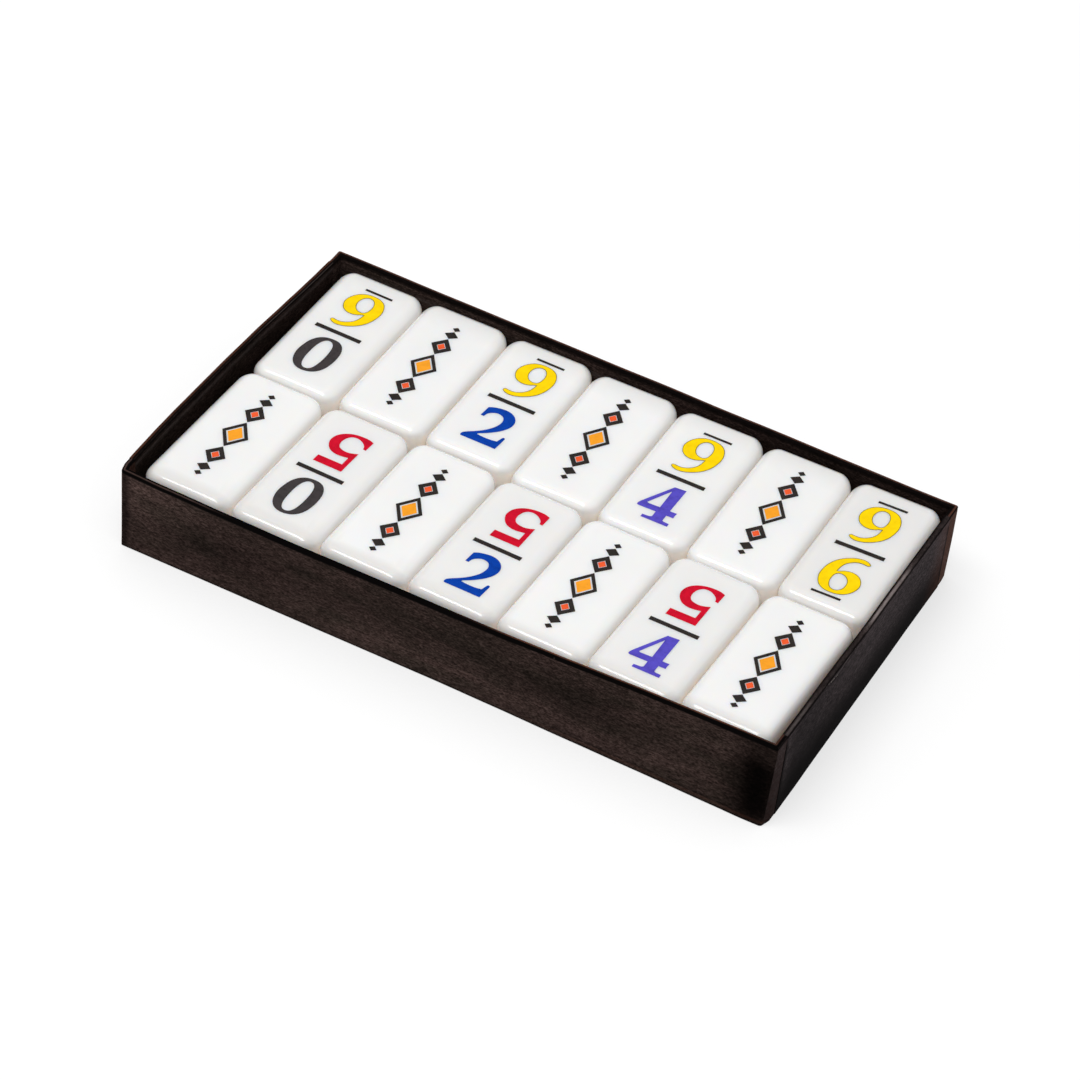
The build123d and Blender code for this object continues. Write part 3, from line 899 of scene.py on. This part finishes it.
# printed digits: outlines in mm about the tile's divider, upright in the near half. A point is (x, y) on a curve or (x, y, 1) at a corner.
GLYPH = {
    "0": [[(1.0, -3.05), (2.3, -3.3), (3.4, -3.95), (4.4, -5.3), (5.05, -7.2), (5.3, -9.9), (5.15, -12.3), (4.7, -14.5), (3.75, -16.35), (2.1, -17.75),
           (-0.3, -18.3), (-2.5, -17.75), (-4.0, -16.3), (-4.9, -14.3), (-5.3, -11.8), (-5.1, -9.1), (-4.5, -6.6), (-3.3, -4.6), (-1.4, -3.35)],
          [(-0.05, -4.2), (1.0, -4.6), (1.75, -5.7), (2.2, -7.6), (2.4, -10.6), (2.25, -13.6), (1.85, -15.6), (1.1, -16.8), (0.1, -17.15),
           (-0.9, -16.8), (-1.65, -15.6), (-2.1, -13.6), (-2.25, -10.6), (-2.1, -7.6), (-1.65, -5.7), (-0.95, -4.6)]],
    "1": [[(1.55, -3.15, 1), (1.55, -16.6, 1), (1.9, -16.95), (3.9, -17.1, 1), (3.9, -18.15, 1), (-3.9, -18.15, 1), (-3.9, -17.1, 1), (-1.9, -16.95),
           (-1.55, -16.6, 1), (-1.55, -6.4, 1), (-2.4, -6.0), (-3.7, -5.8, 1), (-3.7, -4.9, 1), (-1.9, -4.4), (-0.3, -3.15, 1)]],
    "2": [[(-4.5, -8.35, 1), (-4.25, -4.55, 1), (-3.15, -3.9), (-1.55, -3.4), (0.25, -3.15), (1.95, -3.45), (3.35, -4.3), (4.3, -5.65), (4.62, -7.25),
           (4.3, -8.95), (3.45, -10.6), (2.15, -12.2), (0.4, -13.85), (-1.3, -15.1, 1), (-1.55, -15.6, 1), (0.2, -15.72), (2.4, -15.66), (4.2, -15.3, 1),
           (4.7, -13.35, 1), (4.9, -13.1), (5.25, -13.1), (5.5, -13.35, 1), (5.2, -18.15, 1), (-4.95, -18.25, 1), (-5.2, -17.8, 1), (-5.0, -17.0),
           (-4.1, -16.1), (-2.4, -14.75), (-0.75, -13.15), (0.5, -11.5), (1.3, -9.8), (1.62, -8.1), (1.42, -6.9), (0.8, -5.95), (-0.2, -5.5),
           (-1.25, -5.5), (-2.35, -6.05), (-3.2, -6.95), (-3.6, -8.35, 1)]],
    "3": [[(-4.4, -7.7, 1), (-4.3, -4.6, 1), (-2.7, -3.6), (-0.3, -3.15), (1.9, -3.45), (3.4, -4.7), (3.85, -6.4), (3.35, -8.2), (1.5, -9.95, 1),
           (3.2, -10.6), (4.35, -11.9), (4.7, -13.6), (4.25, -15.7), (2.8, -17.35), (0.4, -18.2), (-2.2, -18.3), (-3.8, -18.15), (-5.1, -17.65, 1),
           (-5.0, -14.3, 1), (-4.15, -14.35, 1), (-3.6, -15.6), (-2.3, -16.7), (-0.8, -17.0), (0.6, -16.5), (1.6, -15.2), (1.85, -13.6), (1.4, -12.0),
           (0.2, -10.95), (-2.0, -10.6, 1), (-2.0, -9.5, 1), (-0.2, -9.15), (0.75, -8.2), (1.05, -6.8), (0.65, -5.3), (-0.5, -4.5), (-1.9, -4.75),
           (-3.0, -5.9), (-3.5, -7.7, 1)]],
    "4": [[(0.1, -3.5, 1), (3.3, -3.2, 1), (3.2, -12.45, 1), (5.2, -12.35, 1), (5.1, -13.4), (5.15, -14.4, 1), (3.2, -14.45, 1), (3.2, -16.6, 1),
           (3.55, -16.9), (5.2, -16.98, 1), (5.25, -18.15, 1), (-2.3, -18.2, 1), (-2.3, -17.15, 1), (-0.3, -16.98), (0.2, -16.6, 1), (0.2, -14.5, 1),
           (-4.9, -14.6, 1), (-5.28, -14.3), (-5.15, -13.5), (-4.75, -12.55)],
          [(0.28, -5.3, 1), (0.38, -12.45, 1), (-2.95, -12.6, 1), (-3.3, -12.3, 1), (0.02, -5.75, 1)]],
    "5": [[(-4.1, -3.5, 1), (4.25, -3.4, 1), (4.15, -5.95, 1), (-2.8, -6.05, 1), (-2.85, -9.15, 1), (-1.9, -8.88), (-0.35, -8.62), (1.15, -8.7),
           (2.75, -9.35), (3.95, -10.65), (4.65, -12.3), (4.68, -13.4), (4.3, -14.9), (3.3, -16.3), (1.75, -17.4), (-0.25, -18.1), (-2.2, -18.3),
           (-3.85, -18.2), (-5.15, -17.75, 1), (-5.0, -14.1, 1), (-4.15, -14.2, 1), (-3.9, -15.15), (-3.05, -16.1), (-1.85, -16.8), (-0.7, -17.0),
           (0.5, -16.65), (1.4, -15.65), (1.85, -14.3), (1.88, -13.2), (1.6, -12.1), (1.0, -11.35), (0.0, -10.95), (-1.25, -10.82), (-2.5, -11.05),
           (-4.2, -11.85, 1)]],
    "6": [[(4.55, -3.7), (4.68, -4.1), (4.35, -4.5), (3.3, -4.42), (2.1, -4.42), (1.1, -4.75), (0.1, -5.4), (-0.9, -6.45), (-1.6, -8.0), (-1.95, -10.2, 1),
           (-1.1, -9.85), (-0.1, -9.2), (1.4, -8.8), (2.9, -9.0), (4.3, -9.9), (5.2, -11.5), (5.45, -13.0), (5.1, -14.7), (4.3, -16.2), (3.1, -17.4),
           (1.5, -18.15), (-0.3, -18.35), (-2.3, -18.05), (-3.9, -17.0), (-4.9, -15.3), (-5.4, -13.1), (-5.2, -10.5), (-4.5, -8.1), (-3.3, -6.1),
           (-1.7, -4.6), (0.3, -3.4), (2.3, -2.9), (3.6, -3.1)],
          [(-0.1, -10.65), (1.0, -11.1), (1.9, -12.3), (2.25, -13.9), (2.0, -15.6), (1.2, -16.7), (0.1, -17.1), (-1.0, -16.7), (-1.8, -15.6),
           (-2.2, -13.9), (-2.0, -11.9), (-1.5, -11.0), (-0.85, -10.65)]],
}
BAR = [[(-6.85, 0.7, 1), (-6.85, -0.7, 1), (6.85, -0.7, 1), (6.85, 0.7, 1)]]
UNDERLINE = [[(-4.85, -19.35, 1), (-4.85, -20.15, 1), (3.25, -20.15, 1), (3.25, -19.35, 1)]]


def smooth_loop(points, step=0.35):
    """Closed outline through the points: a rounded curve, with true corners where a point says so."""
    n = len(points)
    out = []
    for i in range(n):
        p0, p1, p2, p3 = points[(i - 1) % n], points[i], points[(i + 1) % n], points[(i + 2) % n]
        a, b = Vector(p1[:2]), Vector(p2[:2])
        c1, c2 = len(p1) > 2, len(p2) > 2
        if c1 and c2:
            out.append(tuple(a))
            continue
        ta = (b - a) if c1 else (b - Vector(p0[:2])) * ((b - a).length / max(1e-6, (b - a).length + (a - Vector(p0[:2])).length))
        tb = (b - a) if c2 else (Vector(p3[:2]) - a) * ((b - a).length / max(1e-6, (b - a).length + (Vector(p3[:2]) - b).length))
        k = max(2, int(math.ceil((b - a).length / step)))
        for j in range(k):
            t = j / k
            h00, h10 = 2 * t ** 3 - 3 * t * t + 1, t ** 3 - 2 * t * t + t
            h01, h11 = -2 * t ** 3 + 3 * t * t, t ** 3 - t * t
            out.append(tuple(a * h00 + ta * h10 + b * h01 + tb * h11))
    return out


def fill(loops):
    """Triangles of a shape with holes: (verts, faces) in plan."""
    from mathutils.geometry import tessellate_polygon
    pts = [[Vector((x, y, 0)) for x, y in lp] for lp in loops]
    tris = tessellate_polygon(pts)
    flat = [p for lp in loops for p in lp]
    return flat, [tuple(t) for t in tris]


def ink_solid(loops, z_top, sink=0.06):
    """A thin closed layer of ink: top face, a wall down into the tile, and an underside."""
    loops = [lp for lp in loops]
    flat, tris = fill(loops)
    n = len(flat)
    verts = [(x, y, TILE_TOP + crown_at(x, y) + z_top) for x, y in flat]
    verts += [(x, y, TILE_TOP + crown_at(x, y) - sink) for x, y in flat]
    faces = []
    for t in tris:
        a, b, c = (Vector(flat[i] + (0,)) for i in t)
        up = (b - a).cross(c - a).z > 0
        faces.append(t if up else t[::-1])
        faces.append(tuple(i + n for i in (t[::-1] if up else t)))
    start = 0
    for li, lp in enumerate(loops):
        m = len(lp)
        area = sum(lp[i][0] * lp[(i + 1) % m][1] - lp[(i + 1) % m][0] * lp[i][1] for i in range(m))
        ccw = area > 0
        for i in range(m):
            j = (i + 1) % m
            f = (start + i, start + i + n, start + j + n, start + j)
            outward = ccw if li == 0 else not ccw
            hole_ccw = ccw
            f_out = f if (hole_ccw and li == 0) or (not hole_ccw and li > 0) or False else f[::-1]
            faces.append(f_out)
        start += m
    return verts, faces


def rim_line(loop, half, z_top, sink=0.06):
    """A thin ring of ink along an outline."""
    m = len(loop)
    inner, outer = [], []
    for i in range(m):
        p0, p, p1 = Vector(loop[(i - 1) % m]), Vector(loop[i]), Vector(loop[(i + 1) % m])
        d = (p - p0).normalized() + (p1 - p).normalized()
        if d.length < 1e-6:
            d = (p1 - p)
        d.normalize()
        nrm = Vector((d.y, -d.x))
        inner.append(tuple(p - nrm * half))
        outer.append(tuple(p + nrm * half))
    verts, faces = [], []
    for lp in (inner, outer):
        verts += [(x, y, TILE_TOP + crown_at(x, y) + z_top) for x, y in lp]
    for lp in (inner, outer):
        verts += [(x, y, TILE_TOP + crown_at(x, y) - sink) for x, y in lp]
    for i in range(m):
        j = (i + 1) % m
        faces.append((i, m + i, m + j, j))
        faces.append((2 * m + i, 2 * m + j, 3 * m + j, 3 * m + i))
        faces.append((i, j, 2 * m + j, 2 * m + i))
        faces.append((m + i, 3 * m + i, 3 * m + j, m + j))
    return verts, faces


LOOPS = {k: [smooth_loop(lp) for lp in v] for k, v in GLYPH.items()}


def place(loops, rot, ox, oy, lean=0.0):
    """An outline in its half of the tile: rot turns it into the far half; lean is the whole print's own small turn."""
    s = -1.0 if rot else 1.0
    ca, sa = s * math.cos(math.radians(lean)), s * math.sin(math.radians(lean))
    return [[(ca * x - sa * y + ox, sa * x + ca * y + oy) for x, y in lp] for lp in loops]


def lozenge(cy, w, h):
    return [(w / 2, cy, 1), (0, cy + h / 2, 1), (-w / 2, cy, 1), (0, cy - h / 2, 1)]


def back_ornament():
    """A plain chain of diamonds down the middle of the back: (ink, loops, height above the face)."""
    items = []

    def frame_of(cy, w, h, t):
        k = t * math.hypot(w, h) / (w * h)
        inner = lozenge(cy, w * (1 - 2 * k), h * (1 - 2 * k))
        return [smooth_loop(lozenge(cy, w, h)), smooth_loop(inner)]
    items.append(("k", frame_of(0, 7.8, 11.2, 0.95), 0.035))
    items.append(("a", [smooth_loop(lozenge(0, 4.5, 6.5))], 0.035))
    for s in (1, -1):
        items.append(("k", frame_of(s * 9.5, 6.0, 7.4, 1.25), 0.035))
        items.append(("r", [smooth_loop(lozenge(s * 9.5, 2.3, 2.85))], 0.035))
        items.append(("k", [smooth_loop(lozenge(s * 15.0, 4.0, 3.2))], 0.035))
        items.append(("k", [smooth_loop(lozenge(s * 17.8, 2.2, 1.9))], 0.035))
    return items


ORNAMENT = back_ornament()

# where each top tile's print sits on it, in mm across and along, as the pad landed
# and turned, in degrees
PRINT_AT = {"tile_0_6": (0.10, -0.70, -0.5), "tile_2_6": (0.75, -0.80, -0.8), "tile_4_6": (0.28, -1.75, -0.3), "tile_6_6": (-0.10, -0.85, 1.5),
            "tile_0_5": (-0.08, -0.43, -0.3), "tile_2_5": (0.62, -0.45, 0.3), "tile_4_5": (0.32, -1.07, 0.8)}
FACE_DOWN = {"tile_1_6", "tile_3_6", "tile_5_6", "tile_4_4", "tile_1_5", "tile_3_5", "tile_5_5",
             "tile_0_1", "tile_0_2", "tile_2_2", "tile_1_3", "tile_3_3", "tile_1_4", "tile_3_4"}


def print_parts(a, b, ox, oy, lean):
    """Face print: (ink, verts, faces) for the divider, both numbers, and the underline under a 6."""
    out = [("k",) + ink_solid(place([smooth_loop(BAR[0])], False, ox, oy, lean), 0.035)]
    for digit, rot in ((a, False), (b, True)):
        loops = place(LOOPS[digit], rot, ox, oy, lean)
        out.append((digit,) + ink_solid(loops, 0.035))
        if digit == "6":
            for lp in loops:
                out.append(("o",) + rim_line(lp, 0.085, 0.042))
            out.append(("k",) + ink_solid(place([smooth_loop(UNDERLINE[0])], rot, ox, oy, lean), 0.035))
    return out


# how far a blank's front end stands back from its nominal length, mm, and how grey its faces are
FRONT_END = {"tile_2_5": 0.55, "tile_3_5": 0.75, "tile_4_5": 0.80, "tile_5_5": 0.75, "tile_3_6": -0.25, "tile_4_6": -0.30,
             "tile_5_6": -0.30, "tile_6_6": 0.30, "tile_0_6": 0.20, "tile_2_6": 0.25}
GREY = {"tile_0_5": 0.38, "tile_2_5": 0.36, "tile_4_5": 0.40, "tile_0_6": 0.30, "tile_2_6": 0.08, "tile_4_6": 0.12, "tile_6_6": 0.62}


def grey_and_painted_shade(node, y, z, row):
    """Painted shade: the faces grey towards the end by the tray's wall and on the rolled edges; GREY greys some tiles
    all over.
    """
    g = GREY.get(node, 0.0)
    near = 17.5 if g else 19.7
    end = 0.95 * ease((-y - near) / (22.9 - near)) if row < 0 else 0.70 * ease((y - 15.0) / 8.5)
    return max(g, end, ease((TILE_TOP - 0.75 - abs(z)) / 1.2))


tile_objects = []
for node in sorted(n for n in frame["nodes"] if n.startswith("tile_")):
    lo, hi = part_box(node)
    c = (lo + hi) / 2
    rng = random.Random(node)
    down = node in FACE_DOWN
    spin = Matrix.Rotation(YAW + math.radians(TURN[UNDER.get(node, node)]), 4, "Z")
    flip = Matrix.Rotation(math.pi, 4, "Y") if down else Matrix.Identity(4)
    turn = Matrix.Translation(c) @ spin @ flip
    body = frame["nodes"][node]["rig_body"]
    verts, faces = tile_mesh(node, rng)
    cut = FRONT_END.get(node, 0.0)
    verts = [(v[0], v[1] + cut * ease((-v[1] - 12.0) / 8.0), v[2]) for v in verts]
    o = mesh_object(node + "_blank", verts, faces, [RESIN])
    # cream and painted glow on the sides
    side = o.data.attributes.new("side", "FLOAT", "POINT")
    side.data.foreach_set("value", [ease((TILE_TOP - 1.9 - abs(v[2])) / 2.0) for v in verts])
    # painted shade on the ends and rolled edges, with each tile's own greyness
    edge = o.data.attributes.new("edge", "FLOAT", "POINT")
    edge.data.foreach_set("value", [grey_and_painted_shade(node, v[1], v[2], c[1]) for v in verts])
    soft_normals(o, 60)
    o.data.transform(turn)
    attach(o, body)
    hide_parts(node)
    # print on both faces
    _, a, b = node.split("_")
    ox, oy, lean = PRINT_AT.get(node, (rng.uniform(-0.4, 0.4), rng.uniform(-0.7, 0.4), rng.uniform(-0.6, 0.6)))
    V, F, MI, mats = [], [], [], []

    def put(ink, vs, fs, back=False):
        if INK[ink] not in mats:
            mats.append(INK[ink])
        k = mats.index(INK[ink])
        n = len(V)
        for v in vs:
            V.append((-v[0], v[1], -v[2]) if back else v)
        for f in fs:
            F.append(tuple(i + n for i in f))
            MI.append(k)
    for ink, vs, fs in print_parts(a, b, ox, oy, lean):
        put(ink, vs, fs)
    bx, by = rng.uniform(-0.35, 0.35), rng.uniform(-0.6, 0.3)
    for ink, loops, h in ORNAMENT:
        vs, fs = ink_solid(place(loops, False, bx, by), h)
        put(ink, vs, fs, back=True)
    p = mesh_object(node + "_print", V, F, mats, smooth=False, face_mats=MI)
    p.data.transform(turn)
    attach(p, body)
    tile_objects.append((o, p))

# ------------------------------------------------------------------ stage, light, camera
floor_me = bpy.data.meshes.new("floor")
floor_me.from_pydata([(-6, -6, 0), (6, -6, 0), (6, 6, 0), (-6, 6, 0)], [], [(0, 1, 2, 3)])
floor = bpy.data.objects.new("floor", floor_me)
bpy.context.scene.collection.objects.link(floor)
ft = Tree("floor_white", rough=0.9, spec=0.1)
fn = ft.noise(ft.coords(), 4.0, 2.0, 0.5)
ft.link(ft.ramp(fn, "Fac", [(0.3, G(0.46)), (0.7, G(0.47))]), "Color", ft.b, "Base Color")
ft.b.inputs["Emission Color"].default_value = (1.0, 1.0, 1.0, 1)
ft.b.inputs["Emission Strength"].default_value = 0.55
floor_me.materials.append(ft.mat)
floor.location.z = -0.0002

world = bpy.data.worlds.new("studio")
world.use_nodes = True
bg = world.node_tree.nodes["Background"]
wt = world.node_tree
coord = wt.nodes.new("ShaderNodeTexCoord")
parts = wt.nodes.new("ShaderNodeSeparateXYZ")
dome = wt.nodes.new("ShaderNodeValToRGB")
dome.color_ramp.elements[0].position, dome.color_ramp.elements[0].color = 0.0, G(0.36)
dome.color_ramp.elements[1].position, dome.color_ramp.elements[1].color = 1.0, G(0.96)
wt.links.new(coord.outputs["Generated"], parts.inputs[0])
wt.links.new(parts.outputs["Z"], dome.inputs["Fac"])
wt.links.new(dome.outputs["Color"], bg.inputs["Color"])
bg.inputs["Strength"].default_value = 0.97
bpy.context.scene.world = world


def softbox(name, direction, dist, sx, sy, power, color=(1, 1, 1), target=(0, 0, 0.012), roll=0.0):
    d = Vector(direction).normalized()
    L = bpy.data.lights.new(name, "AREA")
    L.shape = "RECTANGLE"
    L.size, L.size_y = sx, sy
    L.energy = power
    L.color = color
    o = bpy.data.objects.new(name, L)
    bpy.context.scene.collection.objects.link(o)
    o.location = Vector(target) + d * dist
    o.rotation_mode = "QUATERNION"
    o.rotation_quaternion = (-d).to_track_quat("-Z", "Y")
    if roll:
        o.rotation_quaternion = o.rotation_quaternion @ Matrix.Rotation(roll, 4, "Z").to_quaternion()
    return o


softbox("key_front", (-0.10, -0.36, 0.895), 1.6, 1.27, 0.50, 10.0)

cam_data = bpy.data.cameras.new("camera")
cam = bpy.data.objects.new("camera", cam_data)
bpy.context.scene.collection.objects.link(cam)
F_PX = 4933.758
cam_data.sensor_width = 36.0
cam_data.sensor_fit = "HORIZONTAL"
cam_data.lens = F_PX / 1080.0 * 36.0
cam_data.clip_start, cam_data.clip_end = 0.05, 50.0
right = Vector((0.8773568, 0.4731429, 0.0798806))
down = Vector((0.3681851, -0.5570552, -0.7443985))
fwd = Vector((-0.3077089, 0.682514, -0.6629403))
m = Matrix((
    (right.x, -down.x, -fwd.x, 0.3896727),
    (right.y, -down.y, -fwd.y, -0.8641597),
    (right.z, -down.z, -fwd.z, 0.8463613),
    (0, 0, 0, 1)))
cam.matrix_world = m
bpy.context.scene.camera = cam

bpy.context.scene.view_settings.view_transform = "Standard"
bpy.context.scene.view_settings.look = "None"
